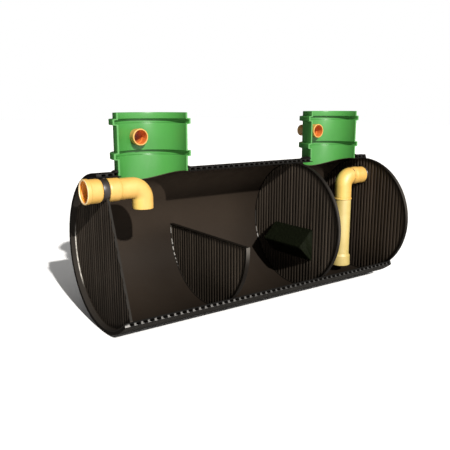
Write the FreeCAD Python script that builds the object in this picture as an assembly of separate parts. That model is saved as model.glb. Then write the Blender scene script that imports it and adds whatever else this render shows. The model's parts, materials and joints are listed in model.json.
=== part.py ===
import FreeCAD, Part
import os
import math

# ---------------------------------------------------------------------------
# Horizontal oil separator tank, shown cut open along its front.
# Millimetres.  +X runs along the tank to the outlet end, +Z is up, and the
# opened side faces -Y.  The origin is on the bottom line at mid-length.
# ---------------------------------------------------------------------------

# tank shell: a hollow-profile wall of two skins joined by ring webs
TANK_LENGTH = 2860.0
TANK_R = 600.0
WALL = 34.0
OUTER_SKIN = 6.0
INNER_SKIN = 5.0
WEB_PITCH = 54.35
WEB_COUNT = 51              # ring webs between the two solid end rings
WEB_FIRST_X = 8.7 - 25 * WEB_PITCH
WEB_THICK = 8.0
END_RING_X = (-1396.0, 1412.0)
AXIS_Z = TANK_R

# the section plane leans back from the crest of the tank
CUT_TOP_Y = -6.0
CUT_LEAN_DEG = 20.5

# ribbed panels
PANEL_T = 36.0
RIB_PITCH = 38.3
RIB_GROOVE_W = 18.0
RIB_GROOVE_D = 8.0
RIM_W = 7.0                 # plain border of a panel
RIM_H = 7.5                 # height of that border above the ribs
INLET_WALL_T = 20.0         # the inlet end wall is a thinner sheet with a flush border

INLET_WALL_X = -1386.0      # outer face
OUTLET_WALL_X = 1386.0      # inner face
PARTITION_X = 482.0         # face towards the inlet
BAFFLE_X = -500.0           # face towards the inlet
BAFFLE_TOP_Z = 630.0
CREST_Y = {"inlet": 5.5, "outlet": 20.0, "partition": 5.5, "baffle": 15.0}   # a rib's centre line

# coalescer block, square in section and set on edge through the partition
COAL_HALF_DIAG = 148.0
COAL_LENGTH = 500.0
COAL_Z = 446.0

# pipework, 160 mm outside diameter
PIPE_R = 80.0
PIPE_BORE_R = 75.0
SOCKET_BORE_R = 80.5
BARREL_R = 88.0
BEAD_R = 93.0
INLET_Z = 1074.0
OUTLET_Z = 1000.0
SOCKET_REACH = 144.0        # from the wall's outer face to the socket mouth
SOCKET_DEPTH = 110.0
BEND_R = 90.0
INLET_SOCKET_X = -1352.0    # mouth of the inlet elbow's socket
INLET_PIPE_END_X = -1295.0
OUTLET_SOCKET_X = 1310.0
INLET_LEG_X = -1061.0
INLET_LEG_END_Z = 911.0
OUTLET_LEG_X = 1134.0
OUTLET_ELBOW_END_Z = 782.0
DIP_END_Z = 115.0
DIP_BELL_TOP_Z = 227.0

# access shafts, 600 mm outside diameter, half of each cut away
SHAFT_R = 300.0
SHAFT_WALL = 14.0
SHAFT_TOP_Z = 1625.0
SHAFT_X = (-953.0, 980.0)
RING_OUT = 30.0
RINGS_Z = ((1284.0, 1335.0), (1534.0, 1582.0))
RING_SLOPE = 3.0
STUB_Z = 1434.0
STUB_R = 55.0
STUB_BORE_R = 51.0
STUB_SOCKET_R = 66.0
STUB_SOCKET_BORE_R = 55.5
STUB_SOCKET_Y = (210.0, 290.0)
STUB_OUTER_Y = 455.0
SEAM_W = 30.0
SEAM_H = 14.0

V = FreeCAD.Vector
os.makedirs("parts", exist_ok=True)
R_IN = TANK_R - WALL
X0 = -TANK_LENGTH / 2.0
X1 = TANK_LENGTH / 2.0
TAN = math.tan(math.radians(CUT_LEAN_DEG))


def cyl_x(r, x0, x1, y=0.0, z=AXIS_Z):
    return Part.makeCylinder(r, x1 - x0, V(x0, y, z), V(1, 0, 0))


def cyl_y(r, y0, y1, x, z):
    return Part.makeCylinder(r, y1 - y0, V(x, y0, z), V(0, 1, 0))


def cyl_z(r, z0, z1, x, y=0.0):
    return Part.makeCylinder(r, z1 - z0, V(x, y, z0), V(0, 0, 1))


def box(x0, x1, y0, y1, z0, z1):
    return Part.makeBox(x1 - x0, y1 - y0, z1 - z0, V(x0, y0, z0))


def poly(points):
    pts = [V(*p) for p in points]
    return Part.makePolygon(pts + [pts[0]])


def cut_y(z):
    return CUT_TOP_Y - (2 * TANK_R - z) * TAN


def clean(shape):
    volume = shape.Volume
    try:
        s = shape.copy().removeSplitter()
        if s.isValid() and abs(s.Volume - volume) < 1e-3 * volume:
            return s
    except Exception:
        pass
    return shape


def save(name, shape, tidy=True):
    if tidy:
        shape = clean(shape)
    solids = shape.Solids
    out = solids[0] if len(solids) == 1 else Part.makeCompound(solids)
    print(name, len(solids), "solid(s)", round(sum(s.Volume for s in solids) / 1e6, 3), "dm3", out.isValid())
    out.exportStep("parts/%s.step" % name)


# everything in front of the section plane
front = Part.Face(poly([(-2500, cut_y(1400), 1400), (-2500, cut_y(-200), -200),
                        (-2500, -2500, -200), (-2500, -2500, 1400)])).extrude(V(5000, 0, 0))

# ------------------------------------------------------------------ shell
holes_wide = [cyl_z(SHAFT_R, AXIS_Z, 2 * TANK_R + 50, x) for x in SHAFT_X]
holes_tight = [cyl_z(SHAFT_R - SHAFT_WALL, AXIS_Z, 2 * TANK_R + 50, x) for x in SHAFT_X]

r_web_out = TANK_R - OUTER_SKIN
r_web_in = R_IN + INNER_SKIN

skin = cyl_x(TANK_R, X0, X1).cut(cyl_x(r_web_out, X0 - 1, X1 + 1))
save("shell_outer_skin", skin.cut(holes_wide[0]).cut(holes_wide[1]).cut(front))

skin = cyl_x(r_web_in, X0, X1).cut(cyl_x(R_IN, X0 - 1, X1 + 1))
save("shell_inner_skin", skin.cut(holes_tight[0]).cut(holes_tight[1]).cut(front))

webs = []
spans = [(X0, END_RING_X[0]), (END_RING_X[1], X1)]
for i in range(WEB_COUNT):
    x = WEB_FIRST_X + i * WEB_PITCH - WEB_THICK / 2.0
    spans.append((x, x + WEB_THICK))
for xa, xb in spans:
    ring = cyl_x(r_web_out, xa, xb).cut(cyl_x(r_web_in, xa - 1, xb + 1))
    ring = ring.cut(front)
    for h, xs in zip(holes_wide, SHAFT_X):
        if abs((xa + xb) / 2.0 - xs) < SHAFT_R + WEB_THICK:
            ring = ring.cut(h)
    webs.extend(ring.Solids)
save("shell_web_rings", Part.makeCompound(webs), tidy=False)


# ----------------------------------------------------------------- panels
def panel(x, t, crest, rim_h, top=None):
    """Upright disc with ribs on both faces, staggered by half a pitch, inside a plain border."""
    half = R_IN + 20.0
    xr = x + rim_h
    w0 = RIB_GROOVE_W / 2.0
    w1 = w0 - 3.0
    g = RIB_GROOVE_D
    near = []
    far = []
    n = int(half // RIB_PITCH) + 1
    for i in range(-n, n + 1):
        y = crest + (i + 0.5) * RIB_PITCH
        if abs(y) + w0 < half:
            near += [(xr, y - w0, 0), (xr + g, y - w1, 0), (xr + g, y + w1, 0), (xr, y + w0, 0)]
        y = crest + i * RIB_PITCH
        if abs(y) + w0 < half:
            far += [(x + t, y - w0, 0), (x + t - g, y - w1, 0), (x + t - g, y + w1, 0), (x + t, y + w0, 0)]
    outline = [(xr, -half, 0)] + near + [(xr, half, 0), (x + t, half, 0)]
    outline += list(reversed(far)) + [(x + t, -half, 0)]
    z1 = 2 * TANK_R if top is None else top - RIM_W / 2.0
    core = Part.Face(poly(outline)).extrude(V(0, 0, z1)).common(cyl_x(R_IN - RIM_W / 2.0, x - 1, x + t + 1))
    rim = cyl_x(R_IN, x, x + t).cut(cyl_x(R_IN - RIM_W, x - 1, x + t + 1))
    if top is None:
        return core.fuse(rim)
    rim = rim.common(box(x - 1, x + t + 1, -TANK_R, TANK_R, 0, top))
    bar = box(x, x + t, -TANK_R, TANK_R, top - RIM_W, top).common(cyl_x(R_IN, x - 1, x + t + 1))
    return core.fuse(rim.fuse(bar))


seal_r = 89.0
wall = panel(INLET_WALL_X, INLET_WALL_T, CREST_Y["inlet"], 0.0).cut(front)
wall = wall.cut(cyl_x(seal_r, INLET_WALL_X - 60, INLET_WALL_X + 90, 0, INLET_Z))
save("inlet_end_wall", wall)

wall = panel(OUTLET_WALL_X, PANEL_T, CREST_Y["outlet"], RIM_H)
wall = wall.cut(cyl_x(seal_r, OUTLET_WALL_X - 60, OUTLET_WALL_X + 90, 0, OUTLET_Z))
save("outlet_end_wall", wall)

# coalescer block: square bar on edge, crossing the partition
cx = PARTITION_X
block = Part.Face(poly([(cx - COAL_HALF_DIAG, -COAL_LENGTH / 2, COAL_Z),
                        (cx, -COAL_LENGTH / 2, COAL_Z - COAL_HALF_DIAG),
                        (cx + COAL_HALF_DIAG, -COAL_LENGTH / 2, COAL_Z),
                        (cx, -COAL_LENGTH / 2, COAL_Z + COAL_HALF_DIAG)])).extrude(V(0, COAL_LENGTH, 0))
save("partition_wall", panel(PARTITION_X, PANEL_T, CREST_Y["partition"], RIM_H).cut(block))
save("coalescer_block", block)

save("sludge_baffle", panel(BAFFLE_X, PANEL_T, CREST_Y["baffle"], RIM_H, BAFFLE_TOP_Z))


# ------------------------------------------------------------------- pipes
def socket_pipe(sign, x_wall, z, x_inner):
    """Pipe through an end wall with a socket outside it, mouth away from the tank."""
    mouth = x_wall + sign * SOCKET_REACH
    step = mouth - sign * SOCKET_DEPTH
    neck = step - sign * 12.0
    prof = [(mouth, SOCKET_BORE_R), (mouth, BEAD_R - 2), (mouth - sign * 3, BEAD_R),
            (mouth - sign * 30, BEAD_R), (mouth - sign * 36, BARREL_R), (step, BARREL_R),
            (neck, PIPE_R), (x_inner, PIPE_R), (x_inner, PIPE_BORE_R), (neck, PIPE_BORE_R),
            (step, SOCKET_BORE_R)]
    f = Part.Face(poly([(a, 0, z + b) for a, b in prof]))
    return f.revolve(V(0, 0, z), V(1, 0, 0), 360)


def ring_x(r0, r1, x0, x1, z):
    return cyl_x(r1, x0, x1, 0, z).cut(cyl_x(r0, x0 - 1, x1 + 1, 0, z))


def elbow(name, sign, x_socket, x_leg, z, z_end, socket_r, socket_len):
    """Socket, bend and leg of an elbow that turns down; sign is the way the run goes."""
    run_end = x_leg - sign * BEND_R
    xs = x_socket + sign * socket_len
    xb = xs - sign * 14.0

    def along(r, a, b):
        return cyl_x(r, min(a, b), max(a, b), 0, z)

    run = along(PIPE_R, x_socket, run_end).fuse(along(socket_r, x_socket, xs))
    run = run.cut(along(PIPE_BORE_R, x_socket - sign, run_end + sign))
    save(name + "_socket", run.cut(along(SOCKET_BORE_R, x_socket - sign, xb)))

    def quarter(r):
        circ = Part.Wire(Part.Circle(V(run_end, 0, z), V(1, 0, 0), r).toShape())
        return Part.Face(circ).revolve(V(run_end, 0, z - BEND_R), V(0, 1, 0), sign * 90)

    save(name + "_bend", quarter(PIPE_R).cut(quarter(PIPE_BORE_R)))
    leg = cyl_z(PIPE_R, z_end, z - BEND_R, x_leg)
    save(name + "_leg", leg.cut(cyl_z(PIPE_BORE_R, z_end - 1, z - BEND_R + 1, x_leg)))


save("inlet_socket_pipe", socket_pipe(-1, INLET_WALL_X, INLET_Z, INLET_PIPE_END_X))
save("inlet_wall_seal", ring_x(PIPE_R, seal_r, INLET_WALL_X - 22, INLET_SOCKET_X - 4, INLET_Z))
elbow("inlet_elbow", 1, INLET_SOCKET_X, INLET_LEG_X, INLET_Z, INLET_LEG_END_Z, 87.0, 96.0)

outlet_face = OUTLET_WALL_X + PANEL_T
outlet_in = OUTLET_WALL_X - 120.0
save("outlet_socket_pipe", socket_pipe(1, outlet_face, OUTLET_Z, outlet_in))
save("outlet_wall_seal", ring_x(PIPE_R, seal_r, OUTLET_WALL_X - 4, outlet_face + 22, OUTLET_Z))
elbow("outlet_elbow", -1, OUTLET_SOCKET_X, OUTLET_LEG_X, OUTLET_Z, OUTLET_ELBOW_END_Z, 83.5, 62.0)
ring = cyl_z(87.0, OUTLET_ELBOW_END_Z - 7, OUTLET_ELBOW_END_Z + 9, OUTLET_LEG_X)
save("outlet_joint_ring", ring.cut(cyl_z(PIPE_R, 600, 900, OUTLET_LEG_X)))
prof = [(PIPE_R, OUTLET_ELBOW_END_Z), (PIPE_R, DIP_BELL_TOP_Z), (BARREL_R + 4, DIP_BELL_TOP_Z - 14),
        (BARREL_R + 6, DIP_END_Z), (SOCKET_BORE_R + 4, DIP_END_Z), (SOCKET_BORE_R + 3, DIP_BELL_TOP_Z - 22),
        (PIPE_BORE_R, DIP_BELL_TOP_Z - 10), (PIPE_BORE_R, OUTLET_ELBOW_END_Z)]
f = Part.Face(poly([(OUTLET_LEG_X + a, 0, b) for a, b in prof]))
save("outlet_dip_pipe", f.revolve(V(OUTLET_LEG_X, 0, 0), V(0, 0, 1), 360))


# ------------------------------------------------------------------ shafts
def shaft_profile(offset):
    r = SHAFT_R - offset
    pts = [(r, AXIS_Z + 300)]
    for a, b in RINGS_Z:
        s = RING_SLOPE
        d = offset * 0.45
        pts += [(r, a + d), (r + RING_OUT, a + s + d), (r + RING_OUT, b - s - d), (r, b - d)]
    pts += [(r, SHAFT_TOP_Z)]
    return pts


back_half = box(-2500, 2500, 0, 2500, 0, 3000)
for name, xs in zip(("inlet_shaft", "outlet_shaft"), SHAFT_X):
    prof = shaft_profile(0.0) + list(reversed(shaft_profile(SHAFT_WALL)))
    f = Part.Face(poly([(xs + a, 0, b) for a, b in prof]))
    tube = f.revolve(V(xs, 0, 0), V(0, 0, 1), 180)
    if tube.BoundBox.YMax < 10:
        tube = f.revolve(V(xs, 0, 0), V(0, 0, -1), 180)
    tube = tube.cut(cyl_x(r_web_in, -2000, 2000))
    tube = tube.cut(cyl_y(STUB_SOCKET_R, 100, 500, xs, STUB_Z))
    save(name, tube)

    seam = cyl_z(SHAFT_R + SEAM_W, AXIS_Z + 300, 1300, xs).cut(cyl_z(SHAFT_R, AXIS_Z, 1400, xs))
    seam = seam.common(cyl_x(TANK_R + SEAM_H, -2000, 2000).cut(cyl_x(TANK_R, -2001, 2001)))
    save(name + "_weld_seam", seam.common(back_half))

    a, b = STUB_SOCKET_Y
    prof = [(a, STUB_SOCKET_BORE_R), (a, STUB_SOCKET_R), (b + 20, STUB_SOCKET_R), (b + 30, STUB_R),
            (STUB_OUTER_Y, STUB_R), (STUB_OUTER_Y, STUB_BORE_R), (b, STUB_BORE_R), (b - 8, STUB_SOCKET_BORE_R)]
    f = Part.Face(poly([(xs, p, STUB_Z + q) for p, q in prof]))
    save(name + "_stub", f.revolve(V(xs, 0, STUB_Z), V(0, 1, 0), 360))
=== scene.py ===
import bpy, bmesh, math, json
import numpy as np
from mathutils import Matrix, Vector


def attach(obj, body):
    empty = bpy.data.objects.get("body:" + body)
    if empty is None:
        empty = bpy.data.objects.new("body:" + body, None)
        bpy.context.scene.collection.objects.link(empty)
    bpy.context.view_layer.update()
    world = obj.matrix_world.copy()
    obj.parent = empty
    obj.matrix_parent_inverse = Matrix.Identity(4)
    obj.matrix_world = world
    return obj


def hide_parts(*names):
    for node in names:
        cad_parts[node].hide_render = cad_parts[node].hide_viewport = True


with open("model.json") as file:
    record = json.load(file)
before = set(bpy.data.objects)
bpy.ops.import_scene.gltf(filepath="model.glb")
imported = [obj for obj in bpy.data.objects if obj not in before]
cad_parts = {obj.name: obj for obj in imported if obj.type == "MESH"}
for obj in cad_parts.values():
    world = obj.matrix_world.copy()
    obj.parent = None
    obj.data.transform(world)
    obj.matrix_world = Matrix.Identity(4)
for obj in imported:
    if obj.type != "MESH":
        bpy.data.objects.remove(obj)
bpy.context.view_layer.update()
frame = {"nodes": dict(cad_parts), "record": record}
scene = bpy.context.scene
NODES = frame["nodes"]

# ---------------------------------------------------------------- dimensions, metres
TANK_R, R_IN, AXIS_Z = 0.600, 0.566, 0.600
R_WEB_OUT, R_WEB_IN = 0.594, 0.571
X0, X1 = -1.430, 1.430
WEB_COUNT, WEB_T, WEB_PITCH = 51, 0.008, 0.05435
WEB_FIRST = 0.0087 - 25 * WEB_PITCH
END_RING = (-1.396, 1.412)
LEAN = math.radians(20.5)
TAN = math.tan(LEAN)
CUT_N = (0.0, -math.cos(LEAN), math.sin(LEAN))
PANEL_T, INLET_T = 0.036, 0.020
RIB_PITCH, GROOVE_W, GROOVE_D = 0.0383, 0.018, 0.008
RIM_W, RIM_H = 0.007, 0.0075
INLET_X, OUTLET_X, PART_X, BAFFLE_X, BAFFLE_TOP = -1.386, 1.386, 0.482, -0.500, 0.630
COAL_D, COAL_L, COAL_Z = 0.148, 0.500, 0.446
PIPE_R, BORE_R, SOCK_R, BARREL_R, BEAD_R = 0.080, 0.075, 0.0805, 0.088, 0.093
INLET_Z, OUTLET_Z, BEND_R = 1.074, 1.000, 0.090
SHAFT_X = (-0.953, 0.980)
SHAFT_R, SHAFT_WALL, SHAFT_TOP = 0.300, 0.014, 1.625
RINGS = ((1.284, 1.335), (1.534, 1.582))
RING_OUT = 0.030
STUB_Z = 1.434


def cut_y(z):
    return -0.006 - (1.2 - z) * TAN


# ---------------------------------------------------------------- camera
cam_data = bpy.data.cameras.new("camera")
cam = bpy.data.objects.new("camera", cam_data)
scene.collection.objects.link(cam)
cam.location = (-3.0432, -3.8480, 1.6757)
cam.rotation_euler = (math.radians(78.18), 0.0, math.radians(-35.56))
cam_data.sensor_fit = "HORIZONTAL"
cam_data.sensor_width = 36.0
cam_data.lens = 570.6 / 450.0 * 36.0
cam_data.clip_start, cam_data.clip_end = 0.05, 200.0
scene.camera = cam

# ---------------------------------------------------------------- light
scene.view_settings.view_transform = "Standard"
scene.view_settings.look = "None"
world = bpy.data.worlds.new("studio")
scene.world = world
world.use_nodes = True
wt = world.node_tree
wt.nodes.clear()
w_out = wt.nodes.new("ShaderNodeOutputWorld")
w_co = wt.nodes.new("ShaderNodeTexCoord")
w_dot = wt.nodes.new("ShaderNodeVectorMath")
w_dot.operation = "DOT_PRODUCT"
w_dot.inputs[1].default_value = tuple(Vector((0.55, -0.80, 0.0)).normalized())
wt.links.new(w_co.outputs["Generated"], w_dot.inputs[0])
w_map = wt.nodes.new("ShaderNodeMapRange")
w_map.inputs["From Min"].default_value = 0.0
w_map.inputs["From Max"].default_value = 1.0
w_map.inputs["To Min"].default_value = 0.10
w_map.inputs["To Max"].default_value = 1.20
wt.links.new(w_dot.outputs["Value"], w_map.inputs["Value"])
w_fill = wt.nodes.new("ShaderNodeBackground")
wt.links.new(w_map.outputs["Result"], w_fill.inputs["Strength"])
w_fill.inputs["Color"].default_value = (1.0, 0.985, 0.965, 1.0)
w_seen = wt.nodes.new("ShaderNodeBackground")
w_seen.inputs["Color"].default_value = (1.0, 1.0, 1.0, 1.0)
w_seen.inputs["Strength"].default_value = 1.0
w_path = wt.nodes.new("ShaderNodeLightPath")
w_mix = wt.nodes.new("ShaderNodeMixShader")
wt.links.new(w_path.outputs["Is Camera Ray"], w_mix.inputs[0])
wt.links.new(w_fill.outputs[0], w_mix.inputs[1])
wt.links.new(w_seen.outputs[0], w_mix.inputs[2])
wt.links.new(w_mix.outputs[0], w_out.inputs["Surface"])

sun_data = bpy.data.lights.new("key", "SUN")
sun_data.energy = 6.6
sun_data.angle = math.radians(1.2)
sun_data.color = (1.0, 0.975, 0.94)
sun = bpy.data.objects.new("key", sun_data)
scene.collection.objects.link(sun)
sun.rotation_mode = "QUATERNION"
sun.rotation_quaternion = Vector((0.18, 1.0, -0.595)).to_track_quat("-Z", "Y")


# ---------------------------------------------------------------- materials
class Mat:
    """A Principled material with short calls for its procedural nodes; gain sets all its colours to the key light."""

    def __init__(self, name, gain=0.76):
        self.gain = gain
        self.m = bpy.data.materials.new(name)
        self.m.use_nodes = True
        self.t = self.m.node_tree
        self.b = self.t.nodes["Principled BSDF"]
        self.co = self.t.nodes.new("ShaderNodeTexCoord").outputs["Object"]
        self.geo = self.t.nodes.new("ShaderNodeNewGeometry")

    def put(self, sock, v):
        if isinstance(v, bpy.types.NodeSocket):
            self.t.links.new(v, sock)
        else:
            sock.default_value = v

    def node(self, kind, ins=None, **props):
        nd = self.t.nodes.new(kind)
        for k, v in props.items():
            setattr(nd, k, v)
        for k, v in (ins or {}).items():
            self.put(nd.inputs[k], v)
        return nd

    def math(self, op, a, b=0.0, clamp=False):
        return self.node("ShaderNodeMath", {0: a, 1: b}, operation=op, use_clamp=clamp).outputs[0]

    def dot(self, vec, axis):
        return self.node("ShaderNodeVectorMath", {0: vec, 1: axis}, operation="DOT_PRODUCT").outputs["Value"]

    def scaled(self, sx, sy, sz):
        return self.node("ShaderNodeVectorMath", {0: self.co, 1: (sx, sy, sz)}, operation="MULTIPLY").outputs[0]

    def noise(self, scale, detail=4.0, rough=0.55, vec=None, dist=0.0):
        return self.node("ShaderNodeTexNoise", {"Vector": vec or self.co, "Scale": scale, "Detail": detail,
                                                "Roughness": rough, "Distortion": dist}).outputs["Fac"]

    def span(self, v, a, b, lo=0.0, hi=1.0, smooth=True):
        return self.node("ShaderNodeMapRange", {"Value": v, "From Min": a, "From Max": b, "To Min": lo, "To Max": hi},
                         interpolation_type="SMOOTHSTEP" if smooth else "LINEAR").outputs["Result"]

    def mix(self, fac, a, b, blend="MIX"):
        nd = self.node("ShaderNodeMix", data_type="RGBA", blend_type=blend)
        self.put(nd.inputs[0], fac)
        for i, v in ((6, a), (7, b)):
            self.put(nd.inputs[i], v if isinstance(v, bpy.types.NodeSocket) else (*[c * self.gain for c in v], 1.0))
        return nd.outputs[2]

    def bump(self, height, strength, distance, normal=None):
        ins = {"Height": height, "Strength": strength, "Distance": distance}
        if normal is not None:
            ins["Normal"] = normal
        return self.node("ShaderNodeBump", ins).outputs["Normal"]

    def xyz(self, vec=None):
        return self.node("ShaderNodeSeparateXYZ", {0: vec or self.co}).outputs

    def done(self, color, rough, normal=None, **consts):
        self.put(self.b.inputs["Base Color"], color)
        self.put(self.b.inputs["Roughness"], rough)
        if normal is not None:
            self.put(self.b.inputs["Normal"], normal)
        for k, v in consts.items():
            self.b.inputs[k.replace("_", " ")].default_value = v
        return self.m

    # --- masks
    def on_cut_plane(self):
        """1 on faces that lie in the section plane."""
        facing = self.math("GREATER_THAN", self.dot(self.geo.outputs["True Normal"], CUT_N), 0.95)
        off = self.math("ADD", self.dot(self.co, CUT_N), -(CUT_N[1] * cut_y(1.2) + CUT_N[2] * 1.2))
        return self.math("MULTIPLY", facing, self.math("LESS_THAN", self.math("ABSOLUTE", off), 0.003))

    def radial(self):
        """Distance from the tank's axis, and how far the face points away from it."""
        x, y, z = self.xyz()
        dz = self.math("SUBTRACT", z, AXIS_Z)
        r = self.math("SQRT", self.math("ADD", self.math("MULTIPLY", y, y), self.math("MULTIPLY", dz, dz)))
        nx, ny, nz = self.xyz(self.geo.outputs["True Normal"])
        out = self.math("ADD", self.math("MULTIPLY", ny, y), self.math("MULTIPLY", nz, dz))
        return r, self.math("DIVIDE", out, r)


def tank_material(name, light, dark, rough, ring_depth, saw_low, saw_high, end_strip=None, webs=False, pale_skin=None, spec=0.06):
    """Dark polyethylene with faint winding lines and scuffs; the sawn edge has its own tone. The outer skin is paler
    towards the bottom and, on the back, a dust tone lightened as painted fill light with painted shade in its grooves;
    the inner skin is darker low down and towards the partition, with painted shade beside the baffle, painted light on
    its shaded top and a painted highlight streak at the inlet end.
    """
    m = Mat(name)
    cloud = m.noise(1.7, 4.0, 0.6)
    fine = m.noise(55.0, 6.0, 0.65)
    scuff = m.noise(7.0, 8.0, 0.7, m.scaled(6.0, 1.0, 1.0), 0.6)
    col = m.mix(m.span(cloud, 0.3, 0.7), dark, light)
    col = m.mix(m.span(scuff, 0.60, 0.78, 0.0, 0.22), col, tuple(c * 1.6 + 0.003 for c in light))
    col = m.mix(m.span(fine, 0.25, 0.75, 0.0, 0.16), col, tuple(c * 0.55 for c in dark))
    x, y, z = m.xyz()
    turn = m.math("FRACT", m.math("DIVIDE", m.math("SUBTRACT", x, WEB_FIRST), WEB_PITCH))
    groove = m.span(m.math("ABSOLUTE", m.math("SUBTRACT", turn, 0.5)), 0.40, 0.5)
    h = m.math("SUBTRACT", m.math("MULTIPLY", fine, 0.00022), m.math("MULTIPLY", groove, ring_depth))
    if pale_skin:
        # Back of the outer skin: a dust tone lightened as painted fill light, with painted shade in the winding
        # grooves.
        dust_and_back_fill = m.mix(m.span(groove, 0.0, 0.8), tuple(c * 1.30 for c in pale_skin), tuple(c * 0.45 for c in pale_skin))
        col = m.mix(m.math("MULTIPLY", m.span(y, 0.10, 0.40), m.span(scuff, 0.30, 0.70, 0.55, 0.95)), col, dust_and_back_fill)
        # Paler towards the bottom.
        col = m.mix(m.span(z, 0.14, 0.34, 1.0, 0.0), col, m.mix(m.span(cloud, 0.3, 0.7), tuple(c * 0.8 for c in pale_skin), pale_skin))
    if end_strip:
        # Inner skin: darker towards the bottom, and towards and past the partition.
        col = m.mix(m.span(z, 0.25, 0.80, 0.62, 0.0), col, tuple(c * 0.35 for c in dark))
        col = m.mix(m.span(x, 0.05, 0.48, 0.0, 0.50), col, tuple(c * 0.30 for c in dark))
        # Painted shade on the wall beside the baffle, low down.
        baffle_shade = m.math("MULTIPLY", m.span(x, -1.05, -0.60, 0.0, 0.5), m.span(x, -0.50, -0.44, 1.0, 0.0))
        col = m.mix(m.math("MULTIPLY", baffle_shade, m.span(z, 0.45, 0.75, 1.0, 0.0)), col, tuple(c * 0.30 for c in dark))
        # Painted light over the upper wall, which the shell's top leaves in shade.
        col = m.mix(m.span(z, 0.86, 1.02, 0.0, 0.5), col, tuple(c * 1.9 for c in light))
        strip = m.math("LESS_THAN", x, INLET_X - 0.002)
        col = m.mix(m.math("MULTIPLY", strip, m.span(fine, 0.2, 0.6, 0.6, 1.0)), col, end_strip)
        # Painted highlight: a narrow, broken pale streak at the inlet end of the inner skin.
        rim_glint = m.math("MULTIPLY", m.span(x, INLET_X - 0.011, INLET_X - 0.008), m.math("LESS_THAN", x, INLET_X))
        rim_glint = m.math("MULTIPLY", rim_glint, m.math("MULTIPLY", m.span(z, 0.22, 0.34), m.span(z, 0.62, 0.76, 1.0, 0.0)))
        rim_glint = m.math("MULTIPLY", rim_glint, m.math("MULTIPLY", m.math("GREATER_THAN", y, 0.0), m.span(m.noise(34.0, 3.0), 0.30, 0.60, 0.45, 1.0)))
        col = m.mix(rim_glint, col, (0.50, 0.47, 0.42))
    saw = m.noise(9.0, 5.0, 0.6, m.scaled(60.0, 9.0, 9.0))
    tone = m.span(z, 0.50, 1.10)
    pale = m.mix(tone, saw_low, saw_high)
    worn = m.mix(tone, tuple(c * 0.35 for c in saw_low), tuple(c * 0.35 for c in saw_high))
    pale = m.mix(m.span(saw, 0.35, 0.7, 0.0, 0.45), pale, worn)
    if webs:
        side = m.math("SUBTRACT", m.math("FRACT", m.math("ADD", turn, 0.5)), 0.5)
        mid = m.math("MULTIPLY", m.math("ABSOLUTE", side), WEB_PITCH)
        r, out = m.radial()
        torn = m.math("ADD", r, m.math("MULTIPLY", m.math("SUBTRACT", m.noise(60.0, 3.0), 0.5), 0.018))
        ends = m.math("MULTIPLY", m.math("LESS_THAN", x, END_RING[0] + 0.004), m.span(torn, 0.5785, 0.5825, 0.12, 1.0))
        hook = m.math("ADD", mid, m.math("MULTIPLY", m.math("SUBTRACT", m.noise(45.0, 3.0), 0.5), 0.016))
        hook = m.math("MAXIMUM", m.span(hook, 0.005, 0.0105, 1.0, 0.0), ends)
        foot = m.math("MULTIPLY", m.span(side, 0.05, 0.12), m.span(side, 0.26, 0.36, 0.8, 0.0))
        hook = m.math("MAXIMUM", hook, m.math("MULTIPLY", foot, m.span(r, 0.5850, 0.5875)))
        hook = m.math("MULTIPLY", hook, m.math("MAXIMUM", m.span(r, 0.5745, 0.5785, 0.06, 1.0), ends))
        fade = m.math("MAXIMUM", m.span(x, -1.3, 0.5, 0.52, 0.11), ends)
        deep = m.mix(m.span(r, 0.5745, 0.5785), tuple(c * 0.02 for c in saw_low), tuple(c * 0.05 for c in saw_low))
        pale = m.mix(m.math("MULTIPLY", hook, fade), deep, pale)
    cut = m.on_cut_plane()
    col = m.mix(cut, col, pale)
    rg = m.span(m.noise(9.0, 5.0), 0.3, 0.7, rough - 0.05, rough + 0.10)
    rg = m.math("ADD", rg, m.math("MULTIPLY", cut, 0.25), True)
    return m.done(col, rg, m.bump(h, 0.8, 1.0), Specular_IOR_Level=spec)


def panel_material(name, light, dark, rough, rib_x=None, spec=0.08, groove_shade=0.55):
    """Ribbed sheet: upright extrusion streaks, dusty patches, painted shade in the grooves, darker towards the bottom
    and a painted shadow band inside the near rim.
    """
    m = Mat(name)
    x, y, z = m.xyz()
    streak = m.noise(1.0, 6.0, 0.65, m.scaled(90.0, 90.0, 2.2))
    cloud = m.noise(2.3, 4.0, 0.6)
    grain = m.noise(260.0, 3.0)
    col = m.mix(m.span(streak, 0.28, 0.72), dark, light)
    col = m.mix(m.span(cloud, 0.45, 0.8, 0.0, 0.3), col, tuple(c * 1.3 for c in light))
    uneven = m.noise(1.0, 2.0, 0.5, m.scaled(0.02, 25.0, 0.45))
    col = m.mix(m.span(uneven, 0.32, 0.48, 0.38, 0.0), col, tuple(c * 0.5 for c in dark))
    col = m.mix(m.span(uneven, 0.52, 0.68, 0.0, 0.45), col, tuple(c * 1.5 for c in light))
    if rib_x is not None:
        # Painted shade in the groove bottoms.
        deep = m.span(x, rib_x + 0.0010, rib_x + 0.0045, 0.0, groove_shade)
        col = m.mix(deep, col, tuple(c * 0.15 for c in dark))
    # Darker towards the bottom.
    col = m.mix(m.span(z, 0.10, 0.45, 0.45, 0.0), col, tuple(c * 0.25 for c in dark))
    r, out = m.radial()
    # Painted shadow of the raised rim along the near side, just inside the border.
    edge = m.math("MULTIPLY", m.span(r, 0.524, 0.545, 0.0, 0.70), m.span(y, -0.15, 0.10, 1.0, 0.0))
    col = m.mix(edge, col, tuple(c * 0.15 for c in dark))
    cut = m.on_cut_plane()
    col = m.mix(cut, col, m.mix(grain, (0.0155, 0.0135, 0.0115), (0.029, 0.0262, 0.0230)))
    h = m.math("ADD", m.math("MULTIPLY", streak, 0.0006), m.math("MULTIPLY", grain, 0.00010))
    rg = m.span(m.noise(14.0, 5.0), 0.3, 0.7, rough - 0.05, rough + 0.10)
    return m.done(col, rg, m.bump(h, 0.7, 1.0), Specular_IOR_Level=spec)


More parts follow.
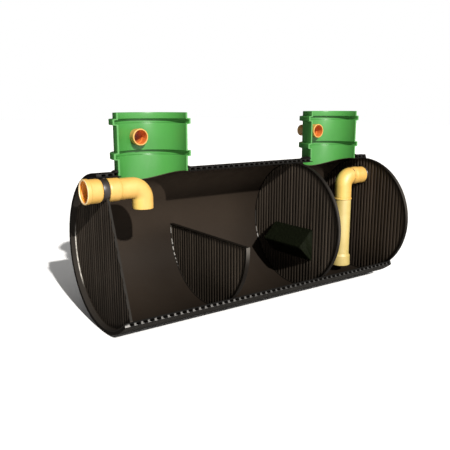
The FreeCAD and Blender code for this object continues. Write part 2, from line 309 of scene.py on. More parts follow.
def border_material(name, light, dark, pale, z_lit, light_dashes=(), lead=None, fall=1.0):
    """Plain border of a sheet; its edge face is painted paler over a span of heights as painted light, with painted
    highlight dashes on the far side.
    """
    m = Mat(name)
    x, y, z = m.xyz()
    grain = m.noise(260.0, 3.0)
    col = m.mix(m.span(m.noise(9.0, 5.0), 0.3, 0.7), dark, light)
    r, out = m.radial()
    face = m.math("MULTIPLY", m.math("GREATER_THAN", m.math("ABSOLUTE", out), 0.8), m.math("GREATER_THAN", r, 0.55))
    if lead is not None:
        face = m.math("MULTIPLY", face, m.span(x, lead - 0.003, lead + 0.003))
    # Painted light on the edge face within the heights z_lit, and only behind lead when lead is set.
    part = m.math("MULTIPLY", m.math("POWER", m.span(z, z_lit[0], z_lit[1]), fall), m.span(z, z_lit[2], z_lit[3], 1.0, 0.0))
    col = m.mix(m.math("MULTIPLY", face, part), col, m.mix(m.span(grain, 0.3, 0.7), tuple(c * 0.75 for c in pale), pale))
    # Painted highlight dashes on the far side of the border.
    far = m.math("GREATER_THAN", y, 0.05)
    for low, high, strength in light_dashes:
        dash = m.math("MULTIPLY", m.span(z, low - 0.004, low + 0.008), m.span(z, high - 0.008, high + 0.004, strength, 0.0))
        col = m.mix(m.math("MULTIPLY", far, dash), col, (0.42, 0.40, 0.37))
    rg = m.span(m.noise(14.0, 5.0), 0.3, 0.7, 0.50, 0.65)
    return m.done(col, rg, m.bump(grain, 0.4, 0.0003), Specular_IOR_Level=0.06)


def green_material(name, gain, rough, spec):
    """Moulded green polyethylene: cloudy pigment, soft orange peel, lighter where it is sawn."""
    m = Mat(name)
    cloud = m.noise(3.0, 4.0, 0.6)
    peel = m.noise(190.0, 3.0, 0.5)
    streak = m.noise(1.0, 5.0, 0.6, m.scaled(28.0, 28.0, 2.0))
    tint = lambda c: tuple(v * gain for v in c)
    col = m.mix(m.span(cloud, 0.3, 0.7), tint((0.044, 0.218, 0.038)), tint((0.055, 0.252, 0.048)))
    col = m.mix(m.span(streak, 0.55, 0.8, 0.0, 0.30), col, tint((0.068, 0.275, 0.058)))
    nx, ny, nz = m.xyz(m.geo.outputs["True Normal"])
    x, y, z = m.xyz()
    # Painted light: faces turned to -X are lighter.
    col = m.mix(m.span(nx, -0.95, -0.15, 0.75, 0.0), col, tint((0.078, 0.330, 0.066)))
    sawn = m.math("MULTIPLY", m.math("LESS_THAN", ny, -0.97), m.math("LESS_THAN", m.math("ABSOLUTE", y), 0.002))
    col = m.mix(sawn, col, m.mix(m.noise(80.0, 4.0), (0.060, 0.235, 0.052), (0.088, 0.295, 0.077)))
    h = m.math("ADD", m.math("MULTIPLY", peel, 0.00012), m.math("MULTIPLY", cloud, 0.0015))
    rg = m.span(m.noise(11.0, 5.0), 0.3, 0.7, rough - 0.05, rough + 0.05)
    return m.done(col, rg, m.bump(h, 0.6, 1.0), Specular_IOR_Level=spec)


def orange_material(name, tone=((0.605, 0.350, 0.073), (0.670, 0.394, 0.091)), seam=None, side=True, lip=None):
    """Drain pipe plastic: warm yellow-orange, faint drawing lines and scuffs, a dark grimy line in the joint; painted
    light on faces turned to -X and a painted highlight at a mouth rim.
    """
    m = Mat(name)
    cloud = m.noise(6.0, 4.0, 0.6)
    scuff = m.noise(30.0, 7.0, 0.72, None, 0.8)
    col = m.mix(m.span(cloud, 0.3, 0.7), tone[0], tone[1])
    col = m.mix(m.span(scuff, 0.60, 0.75, 0.0, 0.40), col, tuple(c * 0.62 for c in tone[0]))
    col = m.mix(m.span(scuff, 0.25, 0.40, 0.20, 0.0), col, tuple(min(1.0, c * 1.12 + 0.02) for c in tone[1]))
    if side:
        # Painted light: faces turned to -X are lighter.
        nx, ny, nz = m.xyz(m.geo.outputs["True Normal"])
        col = m.mix(m.span(nx, -0.90, -0.15, 0.85, 0.0), col, tuple(c * k for c, k in zip(tone[1], (1.25, 1.50, 1.55))))
    if seam is not None:
        x, y, z = m.xyz()
        off = m.math("ABSOLUTE", m.math("SUBTRACT", x, seam))
        line = m.math("MULTIPLY", m.span(off, 0.0030, 0.0062, 1.0, 0.0), m.math("GREATER_THAN", z, 0.9))
        line = m.math("MULTIPLY", line, m.span(m.noise(38.0, 3.0), 0.42, 0.58, 0.15, 1.0))
        col = m.mix(line, col, (0.045, 0.018, 0.006))
    if lip is not None:
        # Painted highlight: a pale band at the mouth rim.
        x, y, z = m.xyz()
        col = m.mix(m.span(x, lip[0], lip[0] + 0.003, lip[1], 0.0), col, (0.93, 0.74, 0.50))
    h = m.math("ADD", m.math("MULTIPLY", scuff, 0.00018), m.math("MULTIPLY", cloud, 0.0010))
    rg = m.span(m.noise(24.0, 5.0), 0.3, 0.7, 0.42, 0.54)
    return m.done(col, rg, m.bump(h, 0.6, 1.0), Specular_IOR_Level=0.8)


def rubber_material(name):
    m = Mat(name)
    fine = m.noise(160.0, 5.0, 0.6)
    col = m.mix(m.span(m.noise(14.0, 4.0), 0.35, 0.7), (0.012, 0.0070, 0.0045), (0.022, 0.0130, 0.0080))
    rg = m.span(fine, 0.3, 0.7, 0.35, 0.42)
    return m.done(col, rg, m.bump(fine, 0.2, 0.0004), Specular_IOR_Level=0.75)


def weld_material(name):
    m = Mat(name)
    fine = m.noise(70.0, 6.0, 0.65)
    col = m.mix(m.span(fine, 0.3, 0.7), (0.006, 0.005, 0.0045), (0.014, 0.012, 0.0105))
    rg = m.span(m.noise(30.0, 4.0), 0.3, 0.7, 0.40, 0.60)
    return m.done(col, rg, m.bump(fine, 0.5, 0.002), Specular_IOR_Level=0.15)


def mesh_pack_material(name):
    """Very dark green open pack: small irregular pores."""
    m = Mat(name)
    pore = m.node("ShaderNodeTexVoronoi", {"Vector": m.co, "Scale": 95.0}).outputs["Distance"]
    cloud = m.noise(8.0, 5.0, 0.6)
    col = m.mix(m.span(pore, 0.1, 0.65), (0.0022, 0.0029, 0.0011), (0.0056, 0.0074, 0.0028))
    col = m.mix(m.span(cloud, 0.5, 0.8, 0.0, 0.40), col, (0.0085, 0.0115, 0.0045))
    return m.done(col, 0.72, m.bump(pore, 0.8, 0.003), Specular_IOR_Level=0.05)


M_OUTER = tank_material("tank_outer", (0.0130, 0.0106, 0.0088), (0.0085, 0.0070, 0.0059), 0.50, 0.0012, (0.0112, 0.0102, 0.0093), (0.009, 0.008, 0.007), pale_skin=(0.032, 0.0288, 0.0250), spec=0.03)
M_INNER = tank_material("tank_inner", (0.0390, 0.0286, 0.0208), (0.0350, 0.0257, 0.0187), 0.52, 0.00010, (0.0052, 0.0046, 0.0040), (0.0052, 0.0046, 0.0040), (0.026, 0.0225, 0.019))
M_WEB = tank_material("tank_webs", (0.0130, 0.0108, 0.0090), (0.0090, 0.0074, 0.0062), 0.55, 0.0, (0.300, 0.290, 0.275), (0.030, 0.028, 0.026), webs=True, spec=0.03)
M_PART = panel_material("ribbed_partition", (0.064, 0.0500, 0.0375), (0.043, 0.0333, 0.0247), 0.55, PART_X + RIM_H)
M_BAFFLE = panel_material("ribbed_baffle", (0.054, 0.0420, 0.0312), (0.036, 0.0277, 0.0204), 0.55, BAFFLE_X + RIM_H)
M_OUTLET = panel_material("ribbed_outlet_wall", (0.060, 0.0450, 0.0335), (0.040, 0.0298, 0.0220), 0.55, OUTLET_X + RIM_H)
M_INLET = panel_material("ribbed_inlet_wall", (0.046, 0.0364, 0.0280), (0.026, 0.0206, 0.0158), 0.60, INLET_X, 0.04, 0.95)
M_EDGE_PART = border_material("partition_border", (0.0100, 0.0080, 0.0062), (0.0070, 0.0056, 0.0043), (0.050, 0.0445, 0.038), (0.46, 0.58, 0.72, 1.15),
                              ((0.508, 0.652, 0.05), (0.434, 0.490, 0.36), (0.381, 0.420, 0.62)), PART_X + 0.012)
M_EDGE_BAFFLE = border_material("baffle_border", (0.0105, 0.0082, 0.0062), (0.0075, 0.0058, 0.0044), (0.105, 0.095, 0.083), (0.40, 0.63, 0.80, 0.90),
                                ((0.541, 0.596, 0.46), (0.440, 0.494, 0.52), (0.388, 0.424, 0.76), (0.345, 0.372, 0.66), (0.311, 0.330, 0.42), (0.284, 0.298, 0.42), (0.258, 0.266, 0.20)), None, 3.0)
M_EDGE_OUTLET = border_material("outlet_wall_border", (0.0085, 0.0066, 0.0050), (0.0055, 0.0043, 0.0033), (0.040, 0.035, 0.030), (0.52, 0.74, 0.90, 1.12))
M_EDGE_INLET = border_material("inlet_wall_border", (0.040, 0.0320, 0.0250), (0.028, 0.0224, 0.0175), (0.050, 0.042, 0.034), (0.15, 0.50, 0.80, 1.08))
M_GREEN = green_material("green_shaft", 1.0, 0.34, 0.55)
# Shaft outsides: the green painted 0.8 times darker as painted shade, rougher and with less sheen.
M_GREEN_OUT_SHADED = green_material("green_shaft_outside", 0.80, 0.60, 0.06)
M_ORANGE = orange_material("orange_drainpipe")
M_ORANGE_SEAM = orange_material("orange_outlet_elbow", seam=1.220)
M_ORANGE_DIP = orange_material("orange_dip_pipe", ((0.515, 0.392, 0.122), (0.570, 0.440, 0.152)), None, False)
M_ORANGE_STUB = orange_material("orange_stub_pipe", ((0.58, 0.300, 0.058), (0.64, 0.338, 0.073)), None, False)
# Bore copies, deeper and redder: painted shade and reddened bounce light inside the pipes.
M_ORANGE_IN = orange_material("orange_pipe_bore", ((0.72, 0.185, 0.030), (0.80, 0.225, 0.040)), None, False)
# The inlet socket and its bore carry a painted highlight band at the mouth rim.
M_ORANGE_SOCKET = orange_material("orange_inlet_socket", lip=(-1.5280, 0.45))
M_ORANGE_MOUTH = orange_material("orange_inlet_bore", ((0.86, 0.300, 0.016), (0.92, 0.345, 0.022)), None, False, (-1.5235, 0.9))
M_RUBBER = rubber_material("black_rubber")
M_WELD = weld_material("black_weld")
M_PACK = mesh_pack_material("coalescer_pack")
BY_SLOT = {"tank_plastic": M_OUTER, "panel_plastic": M_PART, "coalescer_mesh": M_PACK, "green_plastic": M_GREEN,
           "orange_pipe": M_ORANGE, "seal_rubber": M_RUBBER, "weld_plastic": M_WELD}
BY_NODE = {"shell_inner_skin": M_INNER, "shell_web_rings": M_WEB, "inlet_end_wall": M_INLET}
slot_of = {s["node"]: s["material_slot"] for s in frame["record"]["subparts"]}
for name, o in NODES.items():
    for s in o.material_slots:
        s.material = BY_NODE.get(name) or BY_SLOT[slot_of[name]]


# ---------------------------------------------------------------- mesh helpers
def outward(me):
    bm = bmesh.new()
    bm.from_mesh(me)
    bmesh.ops.recalc_face_normals(bm, faces=bm.faces)
    bm.to_mesh(me)
    bm.free()


def finish_mesh(me, angle):
    me.validate()
    me.update()
    me.polygons.foreach_set("use_smooth", [True] * len(me.polygons))
    me.set_sharp_from_angle(angle=math.radians(angle))


def add(name, verts, faces, mat, slot, stands_for=(), angle=32.0, closed=True):
    """A new piece on the fixed body, made from points and faces in the shared frame."""
    me = bpy.data.meshes.new(name)
    me.from_pydata([tuple(map(float, v)) for v in verts], [], faces)
    me.validate()
    if closed:
        outward(me)
    finish_mesh(me, angle)
    o = bpy.data.objects.new(name, me)
    scene.collection.objects.link(o)
    me.materials.append(mat)
    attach(o, "root")
    if stands_for:
        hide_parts(*stands_for)
    return o


def line_bore(o, axis, mat=M_ORANGE_IN):
    """Gives the faces that look at the pipe's own centre line the deeper, redder bore copy: painted shade and reddened
    bounce light.
    """
    me = o.data
    me.materials.append(mat)
    for p in me.polygons:
        c = np.array(p.center)
        d = np.array(axis(c))
        if float(np.dot(np.array(p.normal), c - d)) < -0.35 * np.linalg.norm(c - d):
            p.material_index = 1
    return o


def join(parts):
    """Several (verts, faces) as one."""
    vs, fs, n = [], [], 0
    for v, f in parts:
        vs.extend(v)
        fs.extend([tuple(i + n for i in q) for q in f])
        n += len(v)
    return vs, fs


def boolean(o, verts, faces, op, angle=32.0):
    """Cuts o with a closed shape, or keeps what is inside it."""
    me = bpy.data.meshes.new("cutter")
    me.from_pydata([tuple(map(float, v)) for v in verts], [], faces)
    me.validate()
    outward(me)
    c = bpy.data.objects.new("cutter", me)
    scene.collection.objects.link(c)
    md = o.modifiers.new("cut", "BOOLEAN")
    md.operation, md.object, md.solver = op, c, "EXACT"
    dg = bpy.context.evaluated_depsgraph_get()
    new = bpy.data.meshes.new_from_object(o.evaluated_get(dg))
    o.modifiers.clear()
    mats = list(o.data.materials)
    o.data = new
    new.materials.clear()
    new.materials.append(mats[0])
    new.polygons.foreach_set("material_index", [0] * len(new.polygons))
    bpy.data.objects.remove(c)
    finish_mesh(new, angle)
    return o


def rounded(pts, radii, n=4, closed=True):
    """A polyline with its corners turned to arcs."""
    out, m = [], len(pts)
    for i in range(m):
        p, r = np.array(pts[i], float), radii[i]
        if r <= 0 or (not closed and i in (0, m - 1)):
            out.append(tuple(p))
            continue
        a, c = np.array(pts[i - 1], float), np.array(pts[(i + 1) % m], float)
        la, lc = np.linalg.norm(a - p), np.linalg.norm(c - p)
        u, v = (a - p) / la, (c - p) / lc
        ang = math.acos(max(-1.0, min(1.0, float(u @ v))))
        if ang > 3.1:
            out.append(tuple(p))
            continue
        t = min(r / math.tan(ang / 2), 0.48 * la, 0.48 * lc)
        rr = t * math.tan(ang / 2)
        cen = p + (u + v) / np.linalg.norm(u + v) * rr / math.sin(ang / 2)
        s, e = p + u * t - cen, p + v * t - cen
        a0 = math.atan2(s[1], s[0])
        d = (math.atan2(e[1], e[0]) - a0 + math.pi) % (2 * math.pi) - math.pi
        for k in range(n + 1):
            w = a0 + d * k / n
            out.append((cen[0] + rr * math.cos(w), cen[1] + rr * math.sin(w)))
    return out


def revolve(profile, place, segs=72, a0=0.0, a1=2 * math.pi, capped=False):
    """Turns a closed profile of (along, radius) points; place(along, radius, angle) gives the point."""
    full = abs(a1 - a0 - 2 * math.pi) < 1e-6
    rows = segs if full else segs + 1
    m = len(profile)
    vs = [place(p, r, a0 + (a1 - a0) * i / segs) for i in range(rows) for p, r in profile]
    fs = []
    for i in range(segs):
        j = (i + 1) % rows
        for k in range(m):
            q = (k + 1) % m
            fs.append((i * m + k, i * m + q, j * m + q, j * m + k))
    if capped and not full:
        fs.append(tuple(reversed(range(m))))
        fs.append(tuple((rows - 1) * m + k for k in range(m)))
    return vs, fs


def about_x(z):
    return lambda p, r, a: (p, r * math.sin(a), z + r * math.cos(a))


def about_z(x):
    return lambda p, r, a: (x + r * math.cos(a), r * math.sin(a), p)


def about_y(x, z):
    return lambda p, r, a: (x + r * math.cos(a), p, z + r * math.sin(a))


def prism(outline, z0, z1):
    """Upright prism over a closed (x, y) outline."""
    m = len(outline)
    vs = [(x, y, z0) for x, y in outline] + [(x, y, z1) for x, y in outline]
    fs = [(k, (k + 1) % m, m + (k + 1) % m, m + k) for k in range(m)]
    fs += [tuple(reversed(range(m))), tuple(range(m, 2 * m))]
    return vs, fs


def frustum_x(x0, x1, r0, r1, z=AXIS_Z, segs=160):
    vs, fs = [], []
    for x, r in ((x0, r0), (x1, r1)):
        vs += [(x, r * math.sin(2 * math.pi * i / segs), z + r * math.cos(2 * math.pi * i / segs)) for i in range(segs)]
    fs = [(i, (i + 1) % segs, segs + (i + 1) % segs, segs + i) for i in range(segs)]
    fs += [tuple(reversed(range(segs))), tuple(range(segs, 2 * segs))]
    return vs, fs


# ---------------------------------------------------------------- ribbed panels
def ribbed_outline(x, t, crest, rim_h, depth=GROOVE_D, both=True, half=0.586):
    """Section of a ribbed sheet in (x, y) with softened rib corners."""
    n = int(half // RIB_PITCH) + 1
    xr, w0, w1, g = x + rim_h, GROOVE_W / 2, GROOVE_W / 2 - 0.003, depth
    near, far = [], []
    for i in range(-n, n + 1):
        y = crest + (i + 0.5) * RIB_PITCH
        if abs(y) + w0 < half:
            near += [(xr, y - w0), (xr + g, y - w1), (xr + g, y + w1), (xr, y + w0)]
        y = crest + i * RIB_PITCH
        if both and abs(y) + w0 < half:
            far += [(x + t, y - w0), (x + t - g, y - w1), (x + t - g, y + w1), (x + t, y + w0)]
    pts = [(xr, -half)] + near + [(xr, half), (x + t, half)] + list(reversed(far)) + [(x + t, -half)]
    rad = [0.0] + [0.0022] * len(near) + [0.0, 0.0] + [0.0022] * len(far) + [0.0]
    return rounded(pts, rad, 2)


def ribbed_panel(name, node, x, t, crest, rim_h, mat, border, top=None, depth=GROOVE_D, both=True):
    """Ribbed field and the plain border round it."""
    z1 = 1.19 if top is None else top - RIM_W + 0.001
    core = add(name, *prism(ribbed_outline(x, t, crest, rim_h, depth, both), 0.01, z1), mat, "panel_plastic", (node,))
    boolean(core, *frustum_x(x - 0.01, x + t + 0.01, R_IN - RIM_W + 0.001, R_IN - RIM_W + 0.001), "INTERSECT", 28.0)
    ro = R_IN - 0.0003
    sec = [(x, R_IN - RIM_W), (x, ro), (x + t, ro), (x + t, R_IN - RIM_W)]
    sec = rounded(sec, [0.0013] * 4, 3)
    if top is None:
        ring = revolve(sec, about_x(AXIS_Z), 180)
    else:
        a = math.acos((top - AXIS_Z) / R_IN)
        bar = rounded([(x, top - RIM_W), (x, top), (x + t, top), (x + t, top - RIM_W)], [0.0013] * 4, 3)
        w = math.sqrt(R_IN ** 2 - (top - AXIS_Z) ** 2) - 0.0005
        m = len(bar)
        vs = [(px, -w, pz) for px, pz in bar] + [(px, w, pz) for px, pz in bar]
        fs = [(k, (k + 1) % m, m + (k + 1) % m, m + k) for k in range(m)] + [tuple(reversed(range(m))), tuple(range(m, 2 * m))]
        ring = join([revolve(sec, about_x(AXIS_Z), 120, a, 2 * math.pi - a, True), (vs, fs)])
    rim = add(name + "_border", *ring, border, "panel_plastic", (), 30.0)
    return core, rim


FRONT = ([(sx * 2.5, y, z) for sx in (-1, 1) for y, z in ((cut_y(1.4), 1.4), (cut_y(-0.2), -0.2), (-2.5, -0.2), (-2.5, 1.4))],
         [(0, 1, 2, 3), (7, 6, 5, 4), (0, 4, 5, 1), (1, 5, 6, 2), (2, 6, 7, 3), (3, 7, 4, 0)])

core, rim = ribbed_panel("inlet_wall_ribbed", "inlet_end_wall", INLET_X, INLET_T, 0.0055, 0.0, M_INLET, M_EDGE_INLET, None, 0.005, False)
boolean(core, *FRONT, "DIFFERENCE", 28.0)
boolean(rim, *FRONT, "DIFFERENCE", 28.0)
boolean(core, *frustum_x(INLET_X - 0.1, INLET_X + 0.1, 0.0888, 0.0888, INLET_Z, 72), "DIFFERENCE", 28.0)
core, rim = ribbed_panel("outlet_wall_ribbed", "outlet_end_wall", OUTLET_X, PANEL_T, 0.020, RIM_H, M_OUTLET, M_EDGE_OUTLET)
boolean(core, *frustum_x(OUTLET_X - 0.1, OUTLET_X + 0.1, 0.0888, 0.0888, OUTLET_Z, 72), "DIFFERENCE", 28.0)
ribbed_panel("partition_ribbed", "partition_wall", PART_X, PANEL_T, 0.0055, RIM_H, M_PART, M_EDGE_PART)
ribbed_panel("baffle_ribbed", "sludge_baffle", BAFFLE_X, PANEL_T, 0.015, RIM_H, M_BAFFLE, M_EDGE_BAFFLE, BAFFLE_TOP)


# ---------------------------------------------------------------- drain pipes
def socket_profile(sign, mouth, x_inner):
    """Socket with a rounded seal ridge, neck and spigot, as (x, r) points."""
    s = sign
    step, neck = mouth - s * 0.110, mouth - s * 0.122
    pts = [(mouth, SOCK_R), (mouth, 0.0905), (mouth - s * 0.004, BEAD_R), (mouth - s * 0.030, BEAD_R), (mouth - s * 0.037, BARREL_R),
           (step, BARREL_R), (neck - s * 0.004, PIPE_R), (x_inner, PIPE_R), (x_inner, BORE_R), (neck, BORE_R), (step, SOCK_R),
           (mouth - s * 0.031, SOCK_R), (mouth - s * 0.028, 0.0870), (mouth - s * 0.011, 0.0870), (mouth - s * 0.008, SOCK_R)]
    rad = [0.0015, 0.004, 0.004, 0.006, 0.006, 0.010, 0.010, 0.0015, 0.0015, 0.006, 0.006, 0.002, 0.004, 0.004, 0.002]
    return rounded(pts, rad, 4)


def swept_elbow(name, nodes, sign, x_socket, x_leg, z, z_end, socket_r, socket_len, mat):
    """Socket, bend and leg as one moulding: rings along the centre line, outside and inside."""
    run_end = x_leg - sign * BEND_R
    xs = x_socket + sign * socket_len
    xb = xs - sign * 0.014

    def ring(c, u, r, n=64):
        return [(c[0] + r * math.cos(2 * math.pi * i / n) * u[0], r * math.sin(2 * math.pi * i / n), c[2] + r * math.cos(2 * math.pi * i / n) * u[2]) for i in range(n)]

    up = (0.0, 0.0, 1.0)
    rings = []
    lip = 0.004
    for dx, r in ((0.0, socket_r - lip * 0.8), (0.0008, socket_r - lip * 0.35), (lip, socket_r)):
        rings.append(((x_socket + sign * dx, 0, z), up, r))
    for k in range(1, 6):
        rings.append(((x_socket + sign * (lip + (socket_len - 0.016 - lip) * k / 5), 0, z), up, socket_r))
    for k in range(1, 7):
        w = k / 6
        rings.append(((xs + sign * (-0.016 + 0.020 * w), 0, z), up, socket_r + (PIPE_R - socket_r) * (3 * w * w - 2 * w ** 3)))
    start = xs + sign * 0.004
    for k in range(1, 4):
        rings.append(((start + (run_end - start) * k / 4, 0, z), up, PIPE_R))
    bend = []
    for k in range(0, 25):
        a = math.pi / 2 * k / 24
        bend.append(((run_end + sign * BEND_R * math.sin(a), 0, z - BEND_R + BEND_R * math.cos(a)), (sign * math.sin(a), 0, math.cos(a))))
    rings += [(c, u, PIPE_R) for c, u in bend]
    side = (float(sign), 0.0, 0.0)
    leg_top = z - BEND_R
    for k in range(1, 6):
        rings.append(((x_leg, 0, leg_top + (z_end + 0.003 - leg_top) * k / 5), side, PIPE_R))
    rings.append(((x_leg, 0, z_end + 0.001), side, PIPE_R - 0.0008))
    rings.append(((x_leg, 0, z_end), side, PIPE_R - 0.0022))
    inner = len(rings)
    rings.append(((x_leg, 0, z_end), side, BORE_R + 0.0012))
    rings.append(((x_leg, 0, z_end + 0.002), side, BORE_R))
    rings += [(c, u, BORE_R) for c, u in reversed(bend)]
    rings.append(((xb + sign * 0.006, 0, z), up, BORE_R))
    rings.append(((xb, 0, z), up, SOCK_R))
    rings.append(((x_socket + sign * 0.003, 0, z), up, SOCK_R))
    rings.append(((x_socket, 0, z), up, SOCK_R + 0.0015))
    n = 64
    vs = [p for c, u, r in rings for p in ring(c, u, r, n)]
    m = len(rings)
    fs = []
    for k in range(m):
        q = (k + 1) % m
        for i in range(n):
            j = (i + 1) % n
            fs.append((k * n + i, q * n + i, q * n + j, k * n + j) if sign > 0 else (k * n + j, q * n + j, q * n + i, k * n + i))
    o = add(name, vs, fs, mat, "orange_pipe", nodes, 40.0)
    # Inner faces take the deeper, redder bore copy: painted shade and reddened bounce light.
    o.data.materials.append(M_ORANGE_IN)
    for p in o.data.polygons:
        if inner <= p.index // n < m - 1:
            p.material_index = 1
    return o


line_bore(add("inlet_socket_moulded", *revolve(socket_profile(-1, -1.530, -1.295), about_x(INLET_Z)), M_ORANGE_SOCKET, "orange_pipe", ("inlet_socket_pipe",), 40.0),
          lambda c: (c[0], 0.0, INLET_Z), M_ORANGE_MOUTH)
line_bore(add("outlet_socket_moulded", *revolve(socket_profile(1, 1.566, 1.266), about_x(OUTLET_Z)), M_ORANGE, "orange_pipe", ("outlet_socket_pipe",), 40.0),
          lambda c: (c[0], 0.0, OUTLET_Z))
swept_elbow("inlet_elbow_moulded", ("inlet_elbow_socket", "inlet_elbow_bend", "inlet_elbow_leg"), 1, -1.352, -1.061, INLET_Z, 0.911, 0.087, 0.096, M_ORANGE)
swept_elbow("outlet_elbow_moulded", ("outlet_elbow_socket", "outlet_elbow_bend", "outlet_elbow_leg"), -1, 1.310, 1.134, OUTLET_Z, 0.782, 0.0835, 0.062, M_ORANGE_SEAM)

prof = [(0.782, PIPE_R), (0.227, PIPE_R), (0.211, 0.092), (0.1185, 0.0945), (0.115, 0.0925), (0.115, 0.0850), (0.205, 0.0835), (0.218, BORE_R), (0.782, BORE_R)]
line_bore(add("outlet_dip_pipe_drawn", *revolve(rounded(prof, [0.001, 0.012, 0.010, 0.002, 0.002, 0.002, 0.006, 0.006, 0.001], 4), about_z(1.134)),
              M_ORANGE_DIP, "orange_pipe", ("outlet_dip_pipe",), 40.0), lambda c: (1.134, 0.0, c[2]))
prof = [(0.775, PIPE_R), (0.775, 0.0845), (0.779, 0.087), (0.787, 0.087), (0.791, 0.0845), (0.791, PIPE_R)]
add("outlet_joint_bead", *revolve(rounded(prof, [0, 0.003, 0.004, 0.004, 0.003, 0], 4), about_z(1.134)), M_ORANGE, "orange_pipe", ("outlet_joint_ring",), 40.0)


def seal_profile(x0, x1):
    """Rubber sleeve with one broad rounded bulge and a fine lip at each end."""
    n, pts = 36, [(x0, PIPE_R)]
    for k in range(n + 1):
        w = k / n
        edge = min(1.0, min(w, 1 - w) * 12.0)
        pts.append((x0 + (x1 - x0) * w, 0.0842 + 0.0047 * math.sin(math.pi * (0.12 + 0.76 * w)) * math.sqrt(edge)))
    pts.append((x1, PIPE_R))
    return pts


add("inlet_seal_lips", *revolve(seal_profile(-1.408, -1.356), about_x(INLET_Z)), M_RUBBER, "seal_rubber", ("inlet_wall_seal",), 60.0)
add("outlet_seal_lips", *revolve(seal_profile(1.382, 1.444), about_x(OUTLET_Z)), M_RUBBER, "seal_rubber", ("outlet_wall_seal",), 60.0)


# ---------------------------------------------------------------- shafts
def shaft_side(off):
    r, s, d = SHAFT_R - off, 0.003, off * 0.45
    pts, rad = [], []
    for a, b in RINGS:
        pts += [(a + d, r), (a + s + d, r + RING_OUT), (b - s - d, r + RING_OUT), (b - d, r)]
        k = 0.003 if off else 0.005
        rad += [k, 0.004, 0.004, k]
    return pts, rad


def shaft(name, node, xs):
    out_p, out_r = shaft_side(0.0)
    in_p, in_r = shaft_side(SHAFT_WALL)
    foot = 0.9
    pts = [(foot, SHAFT_R)] + out_p + [(SHAFT_TOP, SHAFT_R), (SHAFT_TOP, SHAFT_R - SHAFT_WALL)] + list(reversed(in_p)) + [(foot, SHAFT_R - SHAFT_WALL)]
    rad = [0.0] + out_r + [0.004, 0.004] + list(reversed(in_r)) + [0.0]
    prof = rounded(pts, rad, 4)

    def place(p, r, a):
        y = r * math.sin(a)
        if p < 0.901:
            p = AXIS_Z + math.sqrt(R_WEB_IN ** 2 - y * y)
        return (xs + r * math.cos(a), y, p)

    o = add(name, *revolve(prof, place, 96, 0.0, math.pi, True), M_GREEN, "green_plastic", (node,), 35.0)
    hole = frustum_x(0.1, 0.5, 0.0632, 0.0632, 0.0, 48)
    hole = ([(xs + v[1], v[0], STUB_Z + v[2]) for v in hole[0]], [tuple(reversed(f)) for f in hole[1]])
    boolean(o, *hole, "DIFFERENCE", 35.0)
    # Outward faces take the darker painted-shade copy of the green.
    o.data.materials.append(M_GREEN_OUT_SHADED)
    for p in o.data.polygons:
        if p.normal.x * (p.center.x - xs) + p.normal.y * p.center.y > 0.05:
            p.material_index = 1
    return o


def weld_seam(name, node, xs):
    """Lumpy fillet weld where the shaft stands on the tank."""
    n, m = 420, 9
    rng = np.random.default_rng(7)
    lump = np.convolve(rng.normal(0, 1, n + 40), np.ones(9) / 9, "same")[20:20 + n + 1]
    if len(lump) < n + 1:
        lump = np.append(lump, lump[-1])
    vs = []
    for i in range(n + 1):
        a = math.pi * i / n
        w = 1.0 + 0.07 * math.sin(a * 300 / 1.9) + 0.10 * lump[i]
        w = max(0.80, min(1.0, 0.92 * w))
        for k in range(m):
            f = k / (m - 1)
            out = 0.030 * w * (1 - f)
            bulge = 0.0045 * math.sin(math.pi * f) * w
            up = 0.014 * w * f
            r = SHAFT_R - 0.004 * (k == m - 1) + out + bulge * 0.6
            y = r * math.sin(a)
            rho = TANK_R - 0.003 * (k == 0) + up + bulge * 0.6
            vs.append((xs + r * math.cos(a), y, AXIS_Z + math.sqrt(rho * rho - y * y)))
        r = SHAFT_R - 0.004
        y = r * math.sin(a)
        vs.append((xs + r * math.cos(a), y, AXIS_Z + math.sqrt((TANK_R - 0.004) ** 2 - y * y)))
    m += 1
    fs = []
    for i in range(n):
        for k in range(m):
            q = (k + 1) % m
            fs.append((i * m + k, (i + 1) * m + k, (i + 1) * m + q, i * m + q))
    fs += [tuple(range(m)), tuple(reversed(range(n * m, n * m + m)))]
    return add(name, vs, fs, M_WELD, "weld_plastic", (node,), 50.0)


for tag, xs in (("inlet", SHAFT_X[0]), ("outlet", SHAFT_X[1])):
    shaft(tag + "_shaft_moulded", tag + "_shaft", xs)
    weld_seam(tag + "_shaft_weld_bead", tag + "_shaft_weld_seam", xs)
    prof = [(0.210, 0.0555), (0.210, 0.0640), (0.214, 0.0660), (0.236, 0.0660), (0.241, 0.0630), (0.308, 0.0630), (0.320, 0.055),
            (0.455, 0.055), (0.455, 0.051), (0.290, 0.051), (0.282, 0.0555)]
    prof = rounded(prof, [0.0012, 0.002, 0.003, 0.004, 0.004, 0.006, 0.006, 0.0012, 0.0012, 0.003, 0.003], 4)
    o = add(tag + "_stub_moulded", *revolve(prof, about_y(xs, STUB_Z), 56), M_ORANGE_STUB, "orange_pipe", (tag + "_shaft_stub",), 40.0)
    line_bore(o, lambda c: (xs, c[1], STUB_Z))


# ---------------------------------------------------------------- hollow cells on the sawn edge of the shell
def cut_t(r, top):
    y0 = cut_y(AXIS_Z)
    b = y0 * math.sin(LEAN)
    root = math.sqrt(b * b - y0 * y0 + r * r)
    return -b + root if top else -b - root


def on_cut(t):
    return cut_y(AXIS_Z) + t * math.sin(LEAN), AXIS_Z + t * math.cos(LEAN)


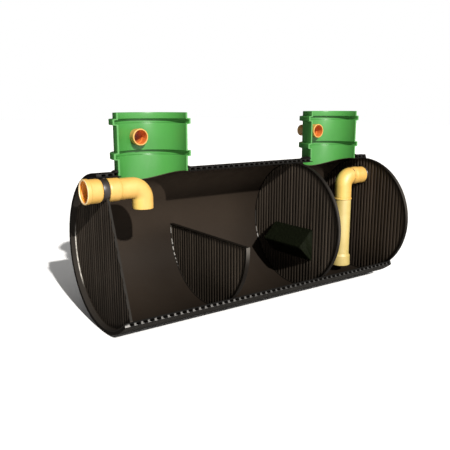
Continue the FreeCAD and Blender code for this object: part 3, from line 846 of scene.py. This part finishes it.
def cell_liners():
    parts = []
    n = 24
    edges = [END_RING[0]]
    for i in range(WEB_COUNT):
        c = WEB_FIRST + i * WEB_PITCH
        edges += [c - WEB_T / 2, c + WEB_T / 2]
    edges.append(END_RING[1])
    cells = list(zip(edges[0::2], edges[1::2]))
    for top in (False, True):
        ta, tb = cut_t(R_WEB_IN, top), cut_t(R_WEB_OUT, top)
        tm, th = (ta + tb) / 2, abs(tb - ta) / 2
        ym, zm = on_cut(tm)
        rad = np.array([ym, zm - AXIS_Z])
        rad /= np.linalg.norm(rad)
        tang = np.array([rad[1], -rad[0]])
        if tang[0] < 0:
            tang = -tang
        for xa, xb in cells:
            xm, xh = (xa + xb) / 2, (xb - xa) / 2
            if top and any(abs(xm - s) < SHAFT_R + 0.02 for s in SHAFT_X):
                continue
            vs, fs = [], []
            for ring in range(4):
                for k in range(n):
                    a = 2 * math.pi * k / n
                    c, s = math.cos(a), math.sin(a)
                    if ring in (0, 3):
                        q = max(abs(c), abs(s))
                        u, v = c / q * (xh + 0.0004), s / q * (th + 0.0004)
                    else:
                        u = math.copysign(abs(c) ** 0.72, c) * (xh - 0.0042)
                        v = math.copysign(abs(s) ** 0.72, s) * (th - 0.0034)
                    y, z = on_cut(tm + v)
                    if ring >= 2:
                        y, z = y + tang[0] * 0.030, z + tang[1] * 0.030
                    vs.append((xm + u, y, z))
            for ring in range(4):
                after = (ring + 1) % 4
                for k in range(n):
                    q = (k + 1) % n
                    fs.append((ring * n + k, ring * n + q, after * n + q, after * n + k))
            parts.append((vs, fs))
    return join(parts)


add("shell_cell_rings", *cell_liners(), M_WEB, "tank_plastic", (), 40.0)


# ---------------------------------------------------------------- coalescer pack
def coalescer():
    """Diamond-section bar of open mesh: every face pitted, corners worn."""
    from mathutils import noise as mn
    n_u, n_v, d = 40, 96, COAL_D
    cor = [(PART_X - d, COAL_Z), (PART_X, COAL_Z + d), (PART_X + d, COAL_Z), (PART_X, COAL_Z - d)]
    loop = []
    for k in range(4):
        a, b = np.array(cor[k]), np.array(cor[(k + 1) % 4])
        loop += [tuple(a + (b - a) * i / n_u) for i in range(n_u)]
    m = len(loop)
    vs = []
    for j in range(n_v + 1):
        y = -COAL_L / 2 + COAL_L * j / n_v
        end = min(j, n_v - j)
        for x, z in loop:
            dx, dz = x - PART_X, z - COAL_Z
            p = Vector((x, y, z))
            pit = max(0.0, mn.noise(p * 60.0)) * 0.006 + max(0.0, mn.noise(p * 140.0 + Vector((7, 3, 1)))) * 0.004 + 0.0006
            pit += (0.004, 0.0015, 0.0)[min(end, 2)]
            corner = max(abs(dx), abs(dz)) / d
            pit += 0.006 * max(0.0, (corner - 0.965) / 0.035) ** 2
            f = 1.0 - pit / (d * 0.7071)
            vs.append((PART_X + dx * f, y, COAL_Z + dz * f))
    fs = []
    for j in range(n_v):
        for k in range(m):
            q = (k + 1) % m
            fs.append((j * m + k, j * m + q, (j + 1) * m + q, (j + 1) * m + k))
    fs += [tuple(range(m)), tuple(reversed(range(n_v * m, n_v * m + m)))]
    return add("coalescer_mesh_bar", vs, fs, M_PACK, "coalescer_mesh", ("coalescer_block",), 60.0)


coalescer()

# ---------------------------------------------------------------- floor
fm = Mat("floor_pale", 1.0)
grain = fm.noise(3.0, 3.0, 0.5)
m_floor = fm.done(fm.mix(grain, (0.945, 0.945, 0.945), (0.955, 0.955, 0.955)), 0.9)
me = bpy.data.meshes.new("floor")
me.from_pydata([(-40, -40, 0), (40, -40, 0), (40, 60, 0), (-40, 60, 0)], [], [(0, 1, 2, 3)])
floor = bpy.data.objects.new("floor", me)
scene.collection.objects.link(floor)
me.materials.append(m_floor)
floor.visible_glossy = False
